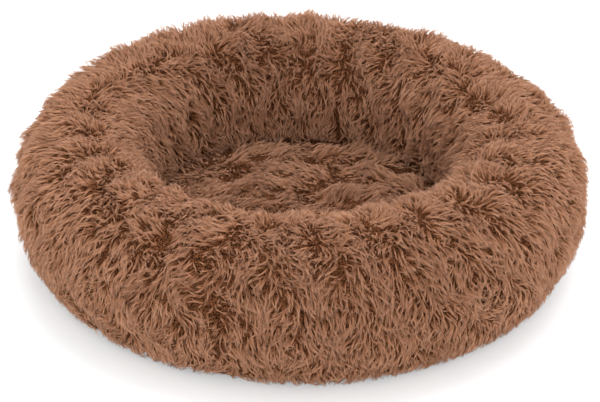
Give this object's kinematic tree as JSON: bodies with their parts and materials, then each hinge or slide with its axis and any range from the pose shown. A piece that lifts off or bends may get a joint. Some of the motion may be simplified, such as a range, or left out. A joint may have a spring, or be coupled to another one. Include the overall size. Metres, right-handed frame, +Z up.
{
  "type": "donut pet bed",
  "caption": "Round fur-covered pet bed with a raised padded rim about a sunken cushioned well, on a flat grip-dotted base closed by a zip at the back.",
  "frame": {"origin": "centre of the bed's bounding box, at floor height", "axes": "+Z up; -Y is the front of the bed, and the cover's zip is at the back, +Y; the zip's closed end is towards -X"},
  "size_m": [0.7556, 0.755, 0.2047],
  "materials": {
    "rim_fur": "long shaggy pile",
    "well_fur": "long shaggy pile",
    "base_cloth": "woven cloth with printed grip dots",
    "liner_cloth": "thin non-woven cloth",
    "filling": "loose polyester fibre",
    "zip_tape": "woven tape",
    "zip_teeth": "moulded",
    "zip_metal": "dark bronze plating"
  },
  "bodies": {
    "bed": {"rim_panel_left": "rim_fur", "rim_panel_right": "rim_fur", "well_panel": "well_fur", "base_panel": "base_cloth", "bolster_liner_top": "liner_cloth", "bolster_liner_bottom": "liner_cloth", "bolster_filling": "filling", "cushion_liner_top": "liner_cloth", "cushion_liner_bottom": "liner_cloth", "cushion_filling": "filling", "zip_tape_base": "zip_tape", "zip_tape_rim": "zip_tape", "zip_teeth_base": "zip_teeth", "zip_teeth_rim": "zip_teeth", "zip_top_stop_base": "zip_metal", "zip_top_stop_rim": "zip_metal", "zip_bottom_stop": "zip_metal"},
    "zip_slider": {"zip_slider": "zip_metal"},
    "zip_pull": {"zip_pull": "zip_metal"}
  },
  "joints": [
    {"name": "zip_travel", "type": "hinge", "parent": "bed", "child": "zip_slider", "pos_m": [0, 0, 0], "axis": [0, 0, -1], "range_deg": [0, 57], "deforming": ["zip_teeth_base", "zip_teeth_rim"]},
    {"name": "zip_pull_swing", "type": "hinge", "parent": "zip_slider", "child": "zip_pull", "pos_m": [-0.15954, 0.29468, 0.01356], "axis": [-0.3367, 0.6218, 0.7071], "range_deg": [-85, 85]}
  ]
}
